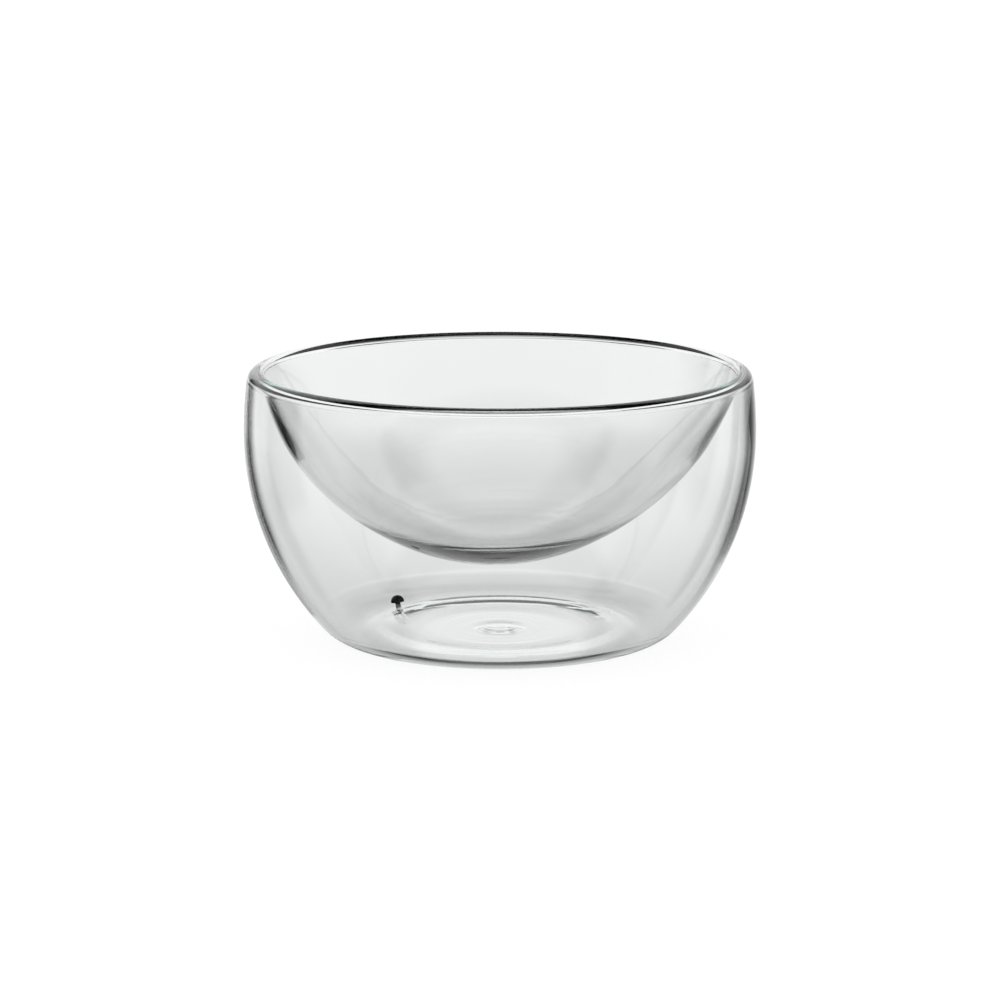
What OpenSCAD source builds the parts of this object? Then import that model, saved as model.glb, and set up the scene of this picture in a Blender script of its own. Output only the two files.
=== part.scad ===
// Double-walled glass dessert dish: one fused glass body round a sealed air space,
// and the soft plug that closes the vent hole in its base. Millimetres, +Z up,
// with the origin at the centre of the foot ring's contact plane.

/* [Overall] */
// Outside diameter at the belly
outer_d = 115; // [100:1:135]
// Height from the foot ring to the crest of the rim
height = 61.2; // [56:0.2:72]
// Height of the widest point of the outer shell
belly_z = 46.8; // [40:0.2:52]

/* [Outer shell] */
// Outside diameter of the foot ring's contact face
foot_d = 65.8; // [58:0.2:74]
// Width of the flat contact face
foot_w = 0.8; // [0.5:0.1:1.4]
// Radius of the heel between the foot ring and the side
heel_r = 10.6; // [8:0.1:13]
// Glass thickness at the belly
wall_t = 0.95; // [0.8:0.05:1.2]
// How far above the belly the inner face of the wall is widest, which thickens the wall downwards
wall_taper = 1.4; // [0.5:0.1:2.5]
// Glass thickness of the base and the heel
base_t = 1.55; // [1.2:0.05:2]

/* [Pushed-up base] */
// Height to which the base is pushed up inside the foot ring
push_h = 0.9; // [0.8:0.05:1.2]
// Width over which the base rises from the foot ring to its crest
push_run = 7; // [5:0.1:8]
// Depth by which the middle of the base dips below the crest
dip_h = 0.75; // [0.4:0.05:0.85]
// Width over which the dip falls
dip_run = 9; // [6:0.5:11]
// Diameter of the raised pip where the glass was sealed off
pip_d = 12.4; // [8:0.2:15]
// Height of the pip
pip_h = 0.7; // [0.3:0.1:1]

/* [Rim] */
// Outer rounding of the rim
lip_outer_r = 2.7; // [2.6:0.05:3.1]
// Inner rounding of the rim
lip_inner_r = 1; // [0.9:0.05:1.3]
// Angle through which the shoulder leans in before the rim's rounding starts
shoulder_turn = 7.2; // [6.4:0.2:8.6]
// Solid glass between the air space and the crest of the rim
lip_t = 1.45; // [1.25:0.05:2.4]
// Rounding of the air space's two upper corners
corner_r = 0.95; // [0.7:0.05:1.05]

/* [Inner bowl] */
// Depth of the bowl below the crest of the rim
bowl_depth = 42; // [34:0.5:50]
// Glass thickness of the bowl's floor and lower side
bowl_floor_t = 2.4; // [1.8:0.1:3]
// Glass thickness of the bowl's side below the rim
bowl_wall_t = 1.05; // [0.8:0.05:1.15]
// Arc of thin glass below the air space's inner corner, in degrees about the bowl's centre
thin_arc = 1; // [0.5:0.5:6]
// Arc below the thin glass over which the glass gets heavier, in degrees
taper_arc = 38; // [20:1:50]

/* [Vent and plug] */
// Bearing of the vent hole round the base, counted from the right-hand side
vent_bearing = 147.5; // [0:0.5:360]
// Distance of the vent hole inside the middle of the heel
vent_inset = 5.1; // [3.8:0.1:6]
// Diameter of the vent hole
vent_d = 1.3; // [1:0.1:1.8]
// Radial clearance between the plug's neck and the vent hole
plug_gap = 0.05; // [0.03:0.01:0.1]
// Depth of the plug's end inside the vent hole
plug_recess = 0.1; // [0.05:0.05:0.4]
// Height of the plug's neck between the glass and its head
plug_stem_h = 1.2; // [0.6:0.1:1.6]
// Diameter of the plug's domed head inside the air space
plug_head_d = 3.1; // [2.6:0.1:3.6]
// Height of the plug's domed head
plug_head_h = 1.6; // [1.2:0.1:2.2]
// Share of the head's height that is a straight edge below the dome
plug_edge_part = 0.25; // [0.1:0.05:0.5]

/* [Hidden] */
// Largest distance between a drawn arc and its true curve
arc_tol = 0.01;
// Sides of a revolved form, and of the small round plug and hole
turn_fn = 144;
plug_fn = 48;
// Steps along each face of the base and along the back of the bowl
base_steps = 36;
bowl_steps = 40;

belly_r = outer_d / 2;
foot_r = foot_d / 2;
foot_inner_r = foot_r - foot_w;
crest_r = foot_inner_r - push_run;
vent_r = foot_r - vent_inset;
pip_r = pip_d / 2;
// Length of the vent's bore to either side of the underside, past both faces of the base
bore_reach = base_t + push_h;

// Two tangent arcs, heel and side, join the foot to the belly. This is the side's radius.
function side_radius(reach, rise, heel) =
    (reach * reach + rise * rise - 2 * rise * heel) / (2 * (reach - heel));
// The direction, from the side's centre, in which the side meets the heel
function heel_angle(reach, rise, heel, side) =
    atan2(heel - rise, side - reach);

side_r = side_radius(belly_r - foot_r, belly_z, heel_r);
heel_end = heel_angle(belly_r - foot_r, belly_z, heel_r, side_r);

inner_belly_r = belly_r - wall_t;
inner_belly_z = belly_z + wall_taper;
inner_heel_r = heel_r - base_t;
inner_side_r = side_radius(inner_belly_r - foot_r, inner_belly_z - base_t, inner_heel_r);
inner_heel_end = heel_angle(inner_belly_r - foot_r, inner_belly_z - base_t, inner_heel_r, inner_side_r);

// The shoulder leans in from the belly and meets the outer rounding of the rim
shoulder_r = (height - belly_z - lip_outer_r * (1 - sin(shoulder_turn))) / sin(shoulder_turn);
lip_r = belly_r - (shoulder_r - lip_outer_r) * (1 - cos(shoulder_turn)) - lip_outer_r;

// The bowl is a spherical cap that is tangent to the inner rounding of the rim
cap_fall = bowl_depth - lip_inner_r;
bowl_r = (lip_r * lip_r + cap_fall * cap_fall - lip_inner_r * lip_inner_r) / (2 * bowl_depth);
bowl_z = height - bowl_depth + bowl_r;
mouth_angle = atan2(height - lip_inner_r - bowl_z, lip_r);

cavity_top = height - lip_t;
// Centres of the air space's corners: against the shoulder, and against the back of the bowl
outer_corner = [
    inner_belly_r - shoulder_r
        + sqrt(pow(shoulder_r - corner_r, 2) - pow(cavity_top - corner_r - inner_belly_z, 2)),
    cavity_top - corner_r
];
back_r = bowl_r + bowl_wall_t;
inner_corner = [
    sqrt(pow(back_r + corner_r, 2) - pow(bowl_z - cavity_top + corner_r, 2)),
    cavity_top - corner_r
];
outer_corner_angle = atan2(
    outer_corner[1] - inner_belly_z, outer_corner[0] - inner_belly_r + shoulder_r);
inner_corner_angle = atan2(inner_corner[1] - bowl_z, inner_corner[0]);

// Points along an arc, close enough together to stay within arc_tol of it
function arc(centre, radius, from, to) =
    let (count = max(2, ceil(abs(to - from) / (2 * acos(1 - arc_tol / radius)))))
    [for (i = [0:count])
        let (a = from + (to - from) * i / count)
        [centre[0] + radius * cos(a), centre[1] + radius * sin(a)]];

// A step from 0 to 1 with level ends
function ease(t) = t <= 0 ? 0 : t >= 1 ? 1 : (1 - cos(180 * t)) / 2;

// Height of the base's underside over the foot plane at radius r
function push(r) =
    push_h * (1 - ease((r - crest_r) / push_run)) - dip_h * (1 - ease((r - crest_r + dip_run) / dip_run));

// Height of the pip at radius r
function pip(r) = pip_h * (1 - ease(r / pip_r));

// Slope of the base across the vent hole, which the hole and its plug stand square to
vent_slope = (push(vent_r - vent_d / 2) - push(vent_r + vent_d / 2)) / vent_d;

// Angle from the bowl's centre line at which its back meets the air space's inner corner
back_arc = 90 + inner_corner_angle;

// Thickness of the bowl's glass at an angle from its centre line
function bowl_thickness(a) =
    bowl_wall_t + (bowl_floor_t - bowl_wall_t) * ease((back_arc - thin_arc - a) / taper_arc);

// The back of the bowl, from its lowest point to the air space's inner corner
function bowl_back() =
    [for (i = [0:bowl_steps])
        let (a = back_arc * i / bowl_steps, r = bowl_r + bowl_thickness(a))
        [r * sin(a), bowl_z - r * cos(a)]];

// One face of the base from the centre line out to the radius end, as points
function base_face(end, lift, pip_share) =
    [for (i = [0:base_steps])
        let (r = end * i / base_steps)
        [r, lift + push(r) + pip_share * pip(r)]];

// Half section of the glass without its air space: underside, side, rim and bowl
module outer_section() {
    under = base_face(foot_inner_r, 0, 0);
    heel = arc([foot_r, heel_r], heel_r, -90, heel_end);
    side = arc([belly_r - side_r, belly_z], side_r, heel_end, 0);
    shoulder = arc([belly_r - shoulder_r, belly_z], shoulder_r, 0, shoulder_turn);
    lip_outside = arc([lip_r, height - lip_outer_r], lip_outer_r, shoulder_turn, 90);
    lip_inside = arc([lip_r, height - lip_inner_r], lip_inner_r, 90, 180 + mouth_angle);
    bowl = arc([0, bowl_z], bowl_r, mouth_angle, -90);
    polygon(concat(under, heel, side, shoulder, lip_outside, lip_inside, bowl));
}

// Half section of the air space between the two walls
module cavity_section() {
    floor_face = base_face(foot_r, base_t, 1);
    heel = arc([foot_r, base_t + inner_heel_r], inner_heel_r, -90, inner_heel_end);
    side = arc([inner_belly_r - inner_side_r, inner_belly_z], inner_side_r, inner_heel_end, 0);
    shoulder = arc([inner_belly_r - shoulder_r, inner_belly_z], shoulder_r, 0, outer_corner_angle);
    corner_out = arc(outer_corner, corner_r, outer_corner_angle, 90);
    corner_in = arc(inner_corner, corner_r, 90, 180 + inner_corner_angle);
    back = bowl_back();
    polygon(concat(floor_face, heel, side, shoulder, corner_out, corner_in,
        [for (i = [len(back) - 1:-1:0]) back[i]]));
}

// Puts its children at the vent, with z = 0 on the underside of the base and +Z square to it
module at_vent() {
    rotate([0, 0, vent_bearing])
    translate([vent_r, 0, push(vent_r)])
    rotate([0, atan(vent_slope), 0])
    children();
}

// The fused inner bowl and outer shell, with the vent hole through the base
module glass_body() {
    color([0.93, 0.96, 0.95, 0.35])
    difference() {
        rotate_extrude($fn = turn_fn)
        difference() {
            outer_section();
            cavity_section();
        }
        at_vent()
        cylinder(h = 2 * bore_reach, d = vent_d, center = true, $fn = plug_fn);
    }
}

// The vent plug: a neck that fills the hole and carries a domed head in the air space
module vent_plug() {
    color([0.03, 0.03, 0.03])
    at_vent()
    rotate_extrude($fn = plug_fn)
    union() {
        translate([0, plug_recess])
        square([vent_d / 2 - plug_gap, base_t + plug_stem_h]);
        translate([0, base_t + plug_stem_h])
        plug_head_section();
    }
}

// Half section of the head: a short straight edge under a dome
module plug_head_section() {
    edge_h = plug_edge_part * plug_head_h;
    dome_h = plug_head_h - edge_h;
    dome_r = (pow(plug_head_d / 2, 2) + dome_h * dome_h) / (2 * dome_h);
    dome_start = asin((dome_r - dome_h) / dome_r);
    polygon(concat([[0, 0], [plug_head_d / 2, 0]],
        arc([0, plug_head_h - dome_r], dome_r, dome_start, 90)));
}

glass_body();
vent_plug();
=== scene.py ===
import math

import bmesh
import bpy
from mathutils import Matrix


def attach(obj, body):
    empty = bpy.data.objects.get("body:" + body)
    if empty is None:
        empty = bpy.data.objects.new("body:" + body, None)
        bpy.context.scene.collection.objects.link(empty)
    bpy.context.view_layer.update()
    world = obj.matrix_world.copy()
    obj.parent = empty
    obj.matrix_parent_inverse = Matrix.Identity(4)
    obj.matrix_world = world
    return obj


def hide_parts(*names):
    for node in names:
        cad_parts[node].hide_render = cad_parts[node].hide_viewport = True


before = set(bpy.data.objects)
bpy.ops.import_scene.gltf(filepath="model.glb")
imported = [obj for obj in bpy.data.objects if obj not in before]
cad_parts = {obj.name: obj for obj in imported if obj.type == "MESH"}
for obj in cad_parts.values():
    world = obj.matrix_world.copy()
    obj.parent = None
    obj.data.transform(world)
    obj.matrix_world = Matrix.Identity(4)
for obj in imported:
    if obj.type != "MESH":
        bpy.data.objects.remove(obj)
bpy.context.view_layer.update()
mm = 0.001
print("frame loaded", list(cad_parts))


# Camera first: it sets what the glass is seen against
cameraSettings = {"distance": 0.850, "height": 0.19743, "aimHeight": 0.031, "lens": 138.2, "sensor": 36.0}


def addCamera():
    data = bpy.data.cameras.new("mainCamera")
    data.sensor_width = cameraSettings["sensor"]
    data.lens = cameraSettings["lens"]
    data.clip_start = 0.01
    data.clip_end = 20.0
    camera = bpy.data.objects.new("mainCamera", data)
    bpy.context.scene.collection.objects.link(camera)
    camera.location = (0.0, -cameraSettings["distance"], cameraSettings["height"])
    drop = cameraSettings["height"] - cameraSettings["aimHeight"]
    pitch = math.atan2(drop, cameraSettings["distance"])
    camera.rotation_euler = (math.radians(90.0) - pitch, 0.0, 0.0)
    bpy.context.scene.camera = camera


addCamera()
print("camera placed")


# Small helpers for node trees and meshes
def newMaterial(name):
    material = bpy.data.materials.new(name)
    material.use_nodes = True
    material.node_tree.nodes.clear()
    return material, material.node_tree


def addNode(tree, kind, inputs=None, **settings):
    node = tree.nodes.new(kind)
    for key, value in settings.items():
        setattr(node, key, value)
    for key, value in (inputs or {}).items():
        socket = node.inputs[key]
        if isinstance(value, bpy.types.NodeSocket):
            tree.links.new(value, socket)
        else:
            socket.default_value = value
    return node


def mathNode(tree, operation, *values):
    return addNode(tree, "ShaderNodeMath", dict(enumerate(values)), operation=operation).outputs[0]


def ramp(tree, value, low, high, outLow=0.0, outHigh=1.0):
    node = addNode(tree, "ShaderNodeMapRange", {
        "Value": value, "From Min": low, "From Max": high, "To Min": outLow, "To Max": outHigh})
    node.interpolation_type = "SMOOTHSTEP"
    return node.outputs["Result"]


def lathe(profile, steps):
    # Spins a half section, in millimetres, into one closed surface with closed poles
    surface = bmesh.new()
    verts = [surface.verts.new((r * mm, 0.0, z * mm)) for r, z in profile]
    edges = [surface.edges.new(pair) for pair in zip(verts, verts[1:])]
    bmesh.ops.spin(surface, geom=verts + edges, cent=(0, 0, 0), axis=(0, 0, 1),
                   angle=math.tau, steps=steps, use_merge=True, use_duplicate=False)
    bmesh.ops.remove_doubles(surface, verts=surface.verts, dist=1e-7)
    bmesh.ops.recalc_face_normals(surface, faces=surface.faces)
    return surface


def addPiece(name, surfaces, material):
    mesh = bpy.data.meshes.new(name)
    whole = bmesh.new()
    for surface in surfaces:
        part = bpy.data.meshes.new(name + "Part")
        surface.to_mesh(part)
        surface.free()
        whole.from_mesh(part)
        bpy.data.meshes.remove(part)
    for face in whole.faces:
        face.smooth = True
    whole.to_mesh(mesh)
    whole.free()
    mesh.materials.append(material)
    piece = bpy.data.objects.new(name, mesh)
    bpy.context.scene.collection.objects.link(piece)
    return piece


# The dish, in millimetres and degrees, as the solid has it. Only the glass is spread a little
# differently, by dipThin in the base and by sideArc to floorRun in the bowl
dish = {
    "outerD": 115.0, "height": 61.2, "bellyZ": 46.8,
    "footD": 65.8, "footW": 0.8, "heelR": 10.6, "wallT": 0.95, "wallTaper": 1.4, "baseT": 1.55,
    "pushH": 0.9, "pushRun": 7.0, "dipH": 0.75, "dipRun": 9.0,
    "dipThin": 0.38, "thinFrom": 27.0, "thinRun": 8.0, "pipD": 12.4, "pipH": 0.7,
    "lipOuterR": 2.7, "lipInnerR": 1.0, "shoulderTurn": 7.2, "lipT": 1.45, "cornerR": 0.95,
    "bowlDepth": 42.0, "bowlFloorT": 2.4, "bowlWallT": 1.05, "thinArc": 1.0,
    "sideArc": 19.0, "sideShare": 0.38, "floorArc": 38.0, "floorRun": 36.0,
    "ventBearing": 147.5, "ventInset": 5.1, "ventD": 1.3, "boreLength": 6.0, "boreSteps": 48,
    "arcTol": 0.002, "faceSteps": 70, "turnSteps": 192, "sharpAngle": 35.0,
}


def sideRadius(reach, rise, heel):
    return (reach * reach + rise * rise - 2 * rise * heel) / (2 * (reach - heel))


def heelAngle(reach, rise, heel, side):
    return math.degrees(math.atan2(heel - rise, side - reach))


def arc(centre, radius, start, end):
    turn = 2 * math.degrees(math.acos(1 - dish["arcTol"] / radius))
    count = max(3, math.ceil(abs(end - start) / turn))
    points = []
    for i in range(count + 1):
        a = math.radians(start + (end - start) * i / count)
        points.append((centre[0] + radius * math.cos(a), centre[1] + radius * math.sin(a)))
    return points


def ease(t):
    return 0.0 if t <= 0 else 1.0 if t >= 1 else (1 - math.cos(math.pi * t)) / 2


bellyR = dish["outerD"] / 2
footR = dish["footD"] / 2
footInnerR = footR - dish["footW"]
crestR = footInnerR - dish["pushRun"]
ventR = footR - dish["ventInset"]


# Height of the underside of the base at a radius: a crest between the foot ring and a shallow dip
def push(r):
    dip = dish["dipH"] * (1 - ease((r - crestR + dish["dipRun"]) / dish["dipRun"]))
    return dish["pushH"] * (1 - ease((r - crestR) / dish["pushRun"])) - dip


# The middle of the base is blown thinner than its rim, which shows as a grey crescent at the back
def thinning(r):
    return dish["dipThin"] * ease((dish["thinFrom"] - r) / dish["thinRun"])


def pip(r):
    return dish["pipH"] * (1 - ease(r / (dish["pipD"] / 2)))


# Thin below the rim, a little heavier down the side and heaviest in the floor, as a blown bowl is
def bowlThickness(a):
    side = dish["sideShare"] * ease((backArc - dish["thinArc"] - a) / dish["sideArc"])
    floor = (1 - dish["sideShare"]) * ease((dish["floorArc"] - a) / dish["floorRun"])
    return dish["bowlWallT"] + (dish["bowlFloorT"] - dish["bowlWallT"]) * (side + floor)


def faceStops(end):
    return [end * i / dish["faceSteps"] for i in range(dish["faceSteps"] + 1)]


# The vent and its plug stand square to the glass, on the slope between foot ring and crest
ventSlope = (push(ventR - 1) - push(ventR + 1)) / 2
ventFrame = (Matrix.Rotation(math.radians(dish["ventBearing"]), 4, "Z")
             @ Matrix.Translation((ventR * mm, 0.0, push(ventR) * mm))
             @ Matrix.Rotation(math.atan(ventSlope), 4, "Y"))


# Both half sections share these centres and angles
sideR = sideRadius(bellyR - footR, dish["bellyZ"], dish["heelR"])
heelEnd = heelAngle(bellyR - footR, dish["bellyZ"], dish["heelR"], sideR)
innerBellyR = bellyR - dish["wallT"]
innerBellyZ = dish["bellyZ"] + dish["wallTaper"]
innerHeelR = dish["heelR"] - dish["baseT"]
innerSideR = sideRadius(innerBellyR - footR, innerBellyZ - dish["baseT"], innerHeelR)
innerHeelEnd = heelAngle(innerBellyR - footR, innerBellyZ - dish["baseT"], innerHeelR, innerSideR)
turnSin = math.sin(math.radians(dish["shoulderTurn"]))
turnCos = math.cos(math.radians(dish["shoulderTurn"]))
shoulderR = (dish["height"] - dish["bellyZ"] - dish["lipOuterR"] * (1 - turnSin)) / turnSin
lipR = bellyR - (shoulderR - dish["lipOuterR"]) * (1 - turnCos) - dish["lipOuterR"]
capFall = dish["bowlDepth"] - dish["lipInnerR"]
bowlR = (lipR ** 2 + capFall ** 2 - dish["lipInnerR"] ** 2) / (2 * dish["bowlDepth"])
bowlZ = dish["height"] - dish["bowlDepth"] + bowlR
mouthAngle = math.degrees(math.atan2(dish["height"] - dish["lipInnerR"] - bowlZ, lipR))
cavityTop = dish["height"] - dish["lipT"]
cornerZ = cavityTop - dish["cornerR"]
cornerOut = (innerBellyR - shoulderR
             + math.sqrt((shoulderR - dish["cornerR"]) ** 2 - (cornerZ - innerBellyZ) ** 2), cornerZ)
backR = bowlR + dish["bowlWallT"]
cornerIn = (math.sqrt((backR + dish["cornerR"]) ** 2 - (bowlZ - cornerZ) ** 2), cornerZ)
cornerOutAngle = math.degrees(math.atan2(cornerZ - innerBellyZ, cornerOut[0] - innerBellyR + shoulderR))
cornerInAngle = math.degrees(math.atan2(cornerZ - bowlZ, cornerIn[0]))
backArc = 90 + cornerInAngle


def outerProfile():
    points = [(r, push(r)) for r in faceStops(footInnerR)]
    points += arc((footR, dish["heelR"]), dish["heelR"], -90, heelEnd)
    points += arc((bellyR - sideR, dish["bellyZ"]), sideR, heelEnd, 0)
    points += arc((bellyR - shoulderR, dish["bellyZ"]), shoulderR, 0, dish["shoulderTurn"])
    points += arc((lipR, dish["height"] - dish["lipOuterR"]), dish["lipOuterR"], dish["shoulderTurn"], 90)
    points += arc((lipR, dish["height"] - dish["lipInnerR"]), dish["lipInnerR"], 90, 180 + mouthAngle)
    points += arc((0, bowlZ), bowlR, mouthAngle, -90)
    return points


def cavityProfile():
    points = [(r, dish["baseT"] + push(r) + pip(r) - thinning(r)) for r in faceStops(footR)]
    points += arc((footR, dish["baseT"] + innerHeelR), innerHeelR, -90, innerHeelEnd)
    points += arc((innerBellyR - innerSideR, innerBellyZ), innerSideR, innerHeelEnd, 0)
    points += arc((innerBellyR - shoulderR, innerBellyZ), shoulderR, 0, cornerOutAngle)
    points += arc(cornerOut, dish["cornerR"], cornerOutAngle, 90)
    points += arc(cornerIn, dish["cornerR"], 90, 180 + cornerInAngle)
    for a in reversed(faceStops(backArc)):
        r = bowlR + bowlThickness(a)
        points.append((r * math.sin(math.radians(a)), bowlZ - r * math.cos(math.radians(a))))
    return points


# Glass: clear borosilicate, faintly green where it is thick, with slow waves all over.
# Fine rings from the blowing lie across the lower bowl and the base. Heights and depths in metres
glassLook = {
    "ior": 1.47, "waveScale": 38.0, "waveHeight": 0.00002,
    "ringStretch": 420.0, "ringWander": 14.0, "bowlRings": 0.00006, "baseRings": 0.00003,
    "bowlRingTop": 0.030, "bowlRingBase": 0.012, "bowlRingOut": 0.038, "baseRingTop": 0.004, "fade": 0.004,
    "tint": (0.72, 0.93, 0.86), "tintDensity": 20.0,
}


def clearGlass():
    material, tree = newMaterial("clearGlass")
    place = addNode(tree, "ShaderNodeTexCoord").outputs["Object"]
    axes = addNode(tree, "ShaderNodeSeparateXYZ", {"Vector": place})
    x, y, z = axes.outputs["X"], axes.outputs["Y"], axes.outputs["Z"]
    waves = addNode(tree, "ShaderNodeTexNoise", {
        "Vector": place, "Scale": glassLook["waveScale"], "Detail": 1.0, "Roughness": 0.4})
    bump = addNode(tree, "ShaderNodeBump", {
        "Height": waves.outputs["Fac"], "Strength": 1.0, "Distance": glassLook["waveHeight"]})
    across = addNode(tree, "ShaderNodeCombineXYZ", {"X": x, "Y": y})
    outward = addNode(tree, "ShaderNodeVectorMath", {
        0: across.outputs["Vector"]}, operation="LENGTH").outputs["Value"]
    wander = glassLook["ringWander"]
    ringPlace = addNode(tree, "ShaderNodeCombineXYZ", {
        "X": mathNode(tree, "MULTIPLY", x, wander), "Y": mathNode(tree, "MULTIPLY", y, wander),
        "Z": mathNode(tree, "MULTIPLY", outward, glassLook["ringStretch"])})
    rings = addNode(tree, "ShaderNodeTexNoise", {
        "Vector": ringPlace.outputs["Vector"], "Scale": 1.0, "Detail": 2.0, "Roughness": 0.5})
    fade = glassLook["fade"]
    overBase = ramp(tree, z, glassLook["bowlRingBase"], glassLook["bowlRingBase"] + fade)
    onBowl = mathNode(tree, "MULTIPLY", overBase, ramp(
        tree, z, glassLook["bowlRingTop"] - 2 * fade, glassLook["bowlRingTop"], 1.0, 0.0))
    onBowl = mathNode(tree, "MULTIPLY", onBowl, ramp(
        tree, outward, glassLook["bowlRingOut"] - fade, glassLook["bowlRingOut"], 1.0, 0.0))
    onBase = ramp(tree, z, glassLook["baseRingTop"], glassLook["baseRingTop"] + fade / 4, 1.0, 0.0)
    depth = mathNode(tree, "ADD", mathNode(tree, "MULTIPLY", onBowl, glassLook["bowlRings"]),
                     mathNode(tree, "MULTIPLY", onBase, glassLook["baseRings"]))
    ringBump = addNode(tree, "ShaderNodeBump", {
        "Height": mathNode(tree, "MULTIPLY", rings.outputs["Fac"], depth), "Strength": 1.0, "Distance": 1.0,
        "Normal": bump.outputs["Normal"]})
    shader = addNode(tree, "ShaderNodeBsdfPrincipled", {
        "Base Color": (1.0, 1.0, 1.0, 1.0), "Roughness": 0.0, "IOR": glassLook["ior"],
        "Transmission Weight": 1.0, "Normal": ringBump.outputs["Normal"]})
    absorb = addNode(tree, "ShaderNodeVolumeAbsorption", {
        "Color": (*glassLook["tint"], 1.0), "Density": glassLook["tintDensity"]})
    addNode(tree, "ShaderNodeOutputMaterial", {
        "Surface": shader.outputs["BSDF"], "Volume": absorb.outputs["Volume"]})
    return material


# Black silicone with a fine dull grain, and a lighter grey on the neck below neckTop
plugLook = {
    "grainScale": 4200.0, "grainDepth": 0.00002, "black": (0.003, 0.003, 0.0035), "worn": (0.009, 0.009, 0.010),
    "grainFrom": 0.3, "grainTo": 0.75, "smoothest": 0.42, "roughest": 0.62,
    "neckTop": 0.0031, "neckFade": 0.0004, "neckGrey": (0.32, 0.33, 0.33),
}


def blackRubber():
    material, tree = newMaterial("plugRubber")
    place = addNode(tree, "ShaderNodeTexCoord").outputs["Object"]
    grain = addNode(tree, "ShaderNodeTexNoise", {
        "Vector": place, "Scale": plugLook["grainScale"], "Detail": 3.0, "Roughness": 0.6})
    colour = addNode(tree, "ShaderNodeValToRGB", {"Fac": grain.outputs["Fac"]})
    for element, stop, tone in zip(colour.color_ramp.elements, ("grainFrom", "grainTo"), ("black", "worn")):
        element.position = plugLook[stop]
        element.color = (*plugLook[tone], 1.0)
    height = addNode(tree, "ShaderNodeSeparateXYZ", {"Vector": place}).outputs["Z"]
    # Lighter grey mixed into the colour on the neck, below neckTop
    neck = ramp(tree, height, plugLook["neckTop"] - plugLook["neckFade"], plugLook["neckTop"], 1.0, 0.0)
    greyedNeck = addNode(tree, "ShaderNodeMix", {
        0: neck, 6: colour.outputs["Color"], 7: (*plugLook["neckGrey"], 1.0)}, data_type="RGBA")
    dull = addNode(tree, "ShaderNodeMapRange", {
        "Value": grain.outputs["Fac"], "To Min": plugLook["smoothest"], "To Max": plugLook["roughest"]})
    bump = addNode(tree, "ShaderNodeBump", {
        "Height": grain.outputs["Fac"], "Strength": 0.5, "Distance": plugLook["grainDepth"]})
    shader = addNode(tree, "ShaderNodeBsdfPrincipled", {
        "Base Color": greyedNeck.outputs[2], "Roughness": dull.outputs["Result"],
        "Specular IOR Level": 0.2, "Normal": bump.outputs["Normal"]})
    addNode(tree, "ShaderNodeOutputMaterial", {"Surface": shader.outputs["BSDF"]})
    return material


# The blown bowl hangs a little left of the centre line, in millimetres
lean = {"bowl": -0.9, "bowlTop": 58.0, "bowlRun": 30.0, "sag": -0.5, "sagRun": 41.0,
        "insideSlack": 0.02, "floorSlack": 0.1, "backSlack": 0.3,
        "wall": -0.35, "wallFrom": 2.0, "wallFull": 36.0, "wallTop": 60.0, "wallFade": 14.0}


def bowlLean(z):
    drop = max(0.0, lean["bowlTop"] - z)
    return lean["bowl"] * ease(drop / lean["bowlRun"]) + lean["sag"] * drop / lean["sagRun"]


# The outer wall is heavier on the right, where its inner face stands further in
def wallLean(x, y, z):
    rightward = max(0.0, x / max(1.0, math.hypot(x, y))) ** 2
    up = ease((z - lean["wallFrom"]) / (lean["wallFull"] - lean["wallFrom"]))
    return lean["wall"] * rightward * up * ease((lean["wallTop"] - z) / lean["wallFade"])


def inBowl(vert, radius):
    return math.hypot(vert.co.x, vert.co.y, vert.co.z - bowlZ * mm) / mm < radius


def buildGlass():
    outside = lathe(outerProfile(), dish["turnSteps"])
    for vert in outside.verts:  # the inside of the bowl
        if inBowl(vert, bowlR + lean["insideSlack"]) and vert.co.z / mm > bowlZ - bowlR - lean["floorSlack"]:
            vert.co.x += bowlLean(vert.co.z / mm) * mm
    cavity = lathe(cavityProfile(), dish["turnSteps"])
    for vert in cavity.verts:  # the back of the bowl, then the inner face of the wall
        if inBowl(vert, bowlR + dish["bowlFloorT"] + lean["backSlack"]):
            vert.co.x += bowlLean(vert.co.z / mm) * mm
        else:
            vert.co.x += wallLean(*(vert.co / mm)) * mm
    bmesh.ops.reverse_faces(cavity, faces=cavity.faces)  # so that they point into the air space
    glass = addPiece("glassDish", [outside, cavity], clearGlass())
    cutter = addCutter()
    bore = glass.modifiers.new("ventBore", "BOOLEAN")
    bore.operation = "DIFFERENCE"
    bore.solver = "EXACT"
    bore.object = cutter
    bpy.context.view_layer.update()
    cut = bpy.data.meshes.new_from_object(glass.evaluated_get(bpy.context.evaluated_depsgraph_get()))
    glass.modifiers.clear()
    glass.data = cut
    bpy.data.objects.remove(cutter)
    cut.set_sharp_from_angle(angle=math.radians(dish["sharpAngle"]))
    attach(glass, "root")
    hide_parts("glass_body")
    return glass


def addCutter():
    surface = bmesh.new()
    bore = dish["ventD"] / 2 * mm
    bmesh.ops.create_cone(surface, cap_ends=True, segments=dish["boreSteps"],
                          radius1=bore, radius2=bore, depth=dish["boreLength"] * mm)
    bmesh.ops.transform(surface, matrix=ventFrame, verts=surface.verts)
    mesh = bpy.data.meshes.new("ventCutter")
    surface.to_mesh(mesh)
    surface.free()
    cutter = bpy.data.objects.new("ventCutter", mesh)
    bpy.context.scene.collection.objects.link(cutter)
    return cutter


glassDish = buildGlass()
print("glass built", len(glassDish.data.polygons))


# The plug, in millimetres: a neck in the hole and a domed head in the air space
plug = {"gap": 0.05, "recess": 0.1, "stemH": 1.2, "headD": 3.1, "headH": 1.6, "edgePart": 0.25, "steps": 64}


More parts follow.
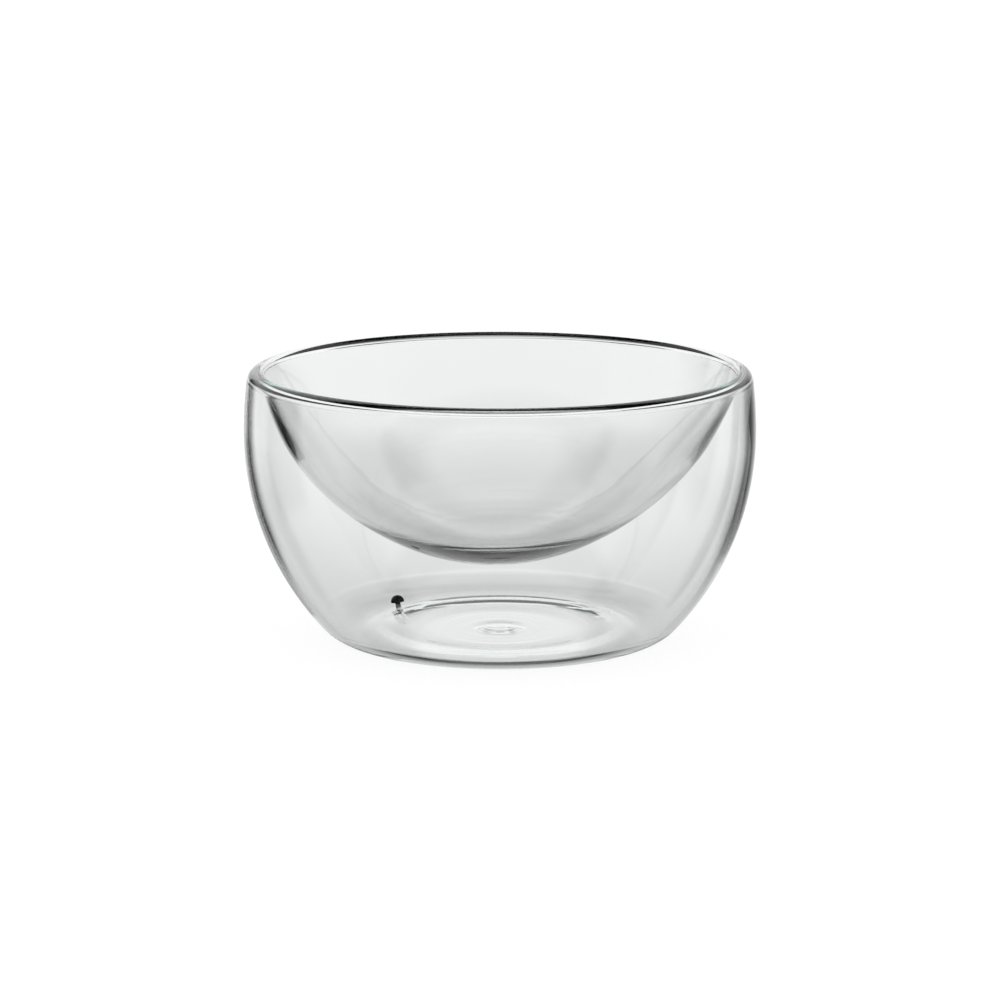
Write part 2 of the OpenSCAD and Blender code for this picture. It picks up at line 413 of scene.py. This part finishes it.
def buildPlug():
    edgeH = plug["headH"] * plug["edgePart"]
    domeH = plug["headH"] - edgeH
    domeR = ((plug["headD"] / 2) ** 2 + domeH ** 2) / (2 * domeH)
    domeStart = math.degrees(math.asin((domeR - domeH) / domeR))
    neckR = dish["ventD"] / 2 - plug["gap"]
    headZ = dish["baseT"] + plug["stemH"]
    profile = [(0.0, plug["recess"]), (neckR, plug["recess"]), (neckR, headZ), (plug["headD"] / 2, headZ)]
    profile += arc((0.0, headZ + plug["headH"] - domeR), domeR, domeStart, 90)
    surface = lathe(profile, plug["steps"])
    bmesh.ops.transform(surface, matrix=ventFrame, verts=surface.verts)
    piece = addPiece("ventPlug", [surface], blackRubber())
    piece.data.set_sharp_from_angle(angle=math.radians(dish["sharpAngle"]))
    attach(piece, "root")
    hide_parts("vent_plug")
    return piece


ventPlug = buildPlug()
print("plug built", len(ventPlug.data.polygons))


# Studio: a white floor that keeps a soft shadow. Glass looks through it at the surroundings,
# which are a lit backdrop with dark bands high up and far down, and narrow dark strips at its sides
studio = {
    "floorSize": 6.0, "floorZ": -0.00005, "floorWhite": 0.85, "floorGlow": 0.86, "floorStrength": 1.07,
    "skyPlain": 1.0, "backSide": 110.0, "soft": 12.0, "stripTop": 4.0, "stripFoot": -20.0, "footSoft": 6.0,
}
# Brightness behind the dish by degrees over the level, then the same for all other directions
behindStops = [
    (-90.0, 0.9), (-67.0, 0.9), (-61.0, 0.05), (-56.0, 0.02), (-48.0, 0.04), (-43.0, 0.28),
    (-38.0, 0.4), (-30.0, 0.53), (-22.0, 0.6), (-18.0, 0.66), (-14.5, 0.77), (-12.0, 0.98),
    (-8.0, 1.0), (44.0, 1.0), (49.0, 0.05), (60.0, 0.05), (68.0, 0.9), (90.0, 0.9),
]
roundStops = [(-90.0, 0.85), (44.0, 0.85), (49.0, 0.05), (60.0, 0.05), (68.0, 0.85), (90.0, 0.85)]
# Share of it by bearing, from left to right, within the height of the strips
bearingStops = [
    (-180.0, 1.0), (-82.0, 1.0), (-77.0, 0.03), (-54.0, 0.03), (-50.0, 0.85), (-36.0, 0.85), (-32.0, 0.02),
    (-21.5, 0.02), (-19.5, 0.95), (-9.0, 1.0), (0.0, 0.88), (8.0, 0.96), (14.0, 0.86), (19.0, 0.66),
    (24.0, 0.35), (27.0, 0.2), (36.0, 0.2), (40.0, 0.8), (180.0, 1.0),
]


def seenByGlass(tree):
    paths = addNode(tree, "ShaderNodeLightPath")
    return paths, mathNode(tree, "MAXIMUM", paths.outputs["Is Glossy Ray"], paths.outputs["Is Transmission Ray"])


def buildFloor():
    surface = bmesh.new()
    bmesh.ops.create_grid(surface, x_segments=1, y_segments=1, size=studio["floorSize"] / 2)
    bmesh.ops.translate(surface, vec=(0.0, 0.0, studio["floorZ"]), verts=surface.verts)
    material, tree = newMaterial("paleFloor")
    paths, glassRay = seenByGlass(tree)
    white = studio["floorWhite"]
    matte = addNode(tree, "ShaderNodeBsdfDiffuse", {"Color": (white, white, white, 1.0)})
    glow = addNode(tree, "ShaderNodeEmission", {"Strength": studio["floorStrength"]})
    lit = addNode(tree, "ShaderNodeMixShader", {
        "Fac": mathNode(tree, "MULTIPLY", paths.outputs["Is Camera Ray"], studio["floorGlow"]),
        1: matte.outputs["BSDF"], 2: glow.outputs["Emission"]})
    clear = addNode(tree, "ShaderNodeBsdfTransparent")
    both = addNode(tree, "ShaderNodeMixShader", {
        "Fac": glassRay, 1: lit.outputs["Shader"], 2: clear.outputs["BSDF"]})
    addNode(tree, "ShaderNodeOutputMaterial", {"Surface": both.outputs["Shader"]})
    addPiece("paleFloor", [surface], material)


def alongStops(tree, value, stops):
    # Brightness along the stops, as a colour ramp that is centred on 0 degrees
    span = stops[-1][0] - stops[0][0]
    node = addNode(tree, "ShaderNodeValToRGB", {"Fac": mathNode(tree, "MULTIPLY_ADD", value, 1 / span, 0.5)})
    elements = node.color_ramp.elements
    while len(elements) < len(stops):
        elements.new(0.5)
    for element, (degrees, level) in zip(elements, stops):
        element.position = degrees / span + 0.5
        element.color = (level, level, level, 1.0)
    return node.outputs["Color"]


def buildWorld():
    world = bpy.data.worlds.new("studioWorld")
    bpy.context.scene.world = world
    world.use_nodes = True
    tree = world.node_tree
    tree.nodes.clear()
    toward = addNode(tree, "ShaderNodeSeparateXYZ", {
        "Vector": addNode(tree, "ShaderNodeTexCoord").outputs["Generated"]})
    bearing = mathNode(tree, "DEGREES", mathNode(tree, "ARCTAN2", toward.outputs["X"], toward.outputs["Y"]))
    lift = mathNode(tree, "DEGREES", mathNode(tree, "ARCSINE", toward.outputs["Z"]))
    behind = ramp(tree, mathNode(tree, "ABSOLUTE", bearing),
                  studio["backSide"], studio["backSide"] + studio["soft"], 1.0, 0.0)
    backdrop = addNode(tree, "ShaderNodeMix", {
        0: behind, 6: alongStops(tree, lift, roundStops), 7: alongStops(tree, lift, behindStops),
    }, data_type="RGBA")
    stripHere = mathNode(
        tree, "MULTIPLY", ramp(tree, lift, studio["stripTop"], studio["stripTop"] + studio["soft"], 1.0, 0.0),
        ramp(tree, lift, studio["stripFoot"] - studio["footSoft"], studio["stripFoot"]))
    forGlass = addNode(tree, "ShaderNodeMix", {
        0: stripHere, 6: backdrop.outputs[2], 7: alongStops(tree, bearing, bearingStops),
    }, data_type="RGBA", blend_type="MULTIPLY")
    plain = studio["skyPlain"]
    glassRay = seenByGlass(tree)[1]
    level = addNode(tree, "ShaderNodeMix", {
        0: glassRay, 6: (plain, plain, plain, 1.0), 7: forGlass.outputs[2]}, data_type="RGBA")
    back = addNode(tree, "ShaderNodeBackground", {"Color": level.outputs[2]})
    addNode(tree, "ShaderNodeOutputWorld", {"Surface": back.outputs["Background"]})


buildFloor()
buildWorld()
print("studio built")

# Light crosses up to eight faces of glass on its way through the dish, and bounces inside it
scene = bpy.context.scene
scene.view_settings.view_transform = "Standard"
scene.cycles.max_bounces = 24
scene.cycles.transmission_bounces = 16
scene.cycles.glossy_bounces = 12
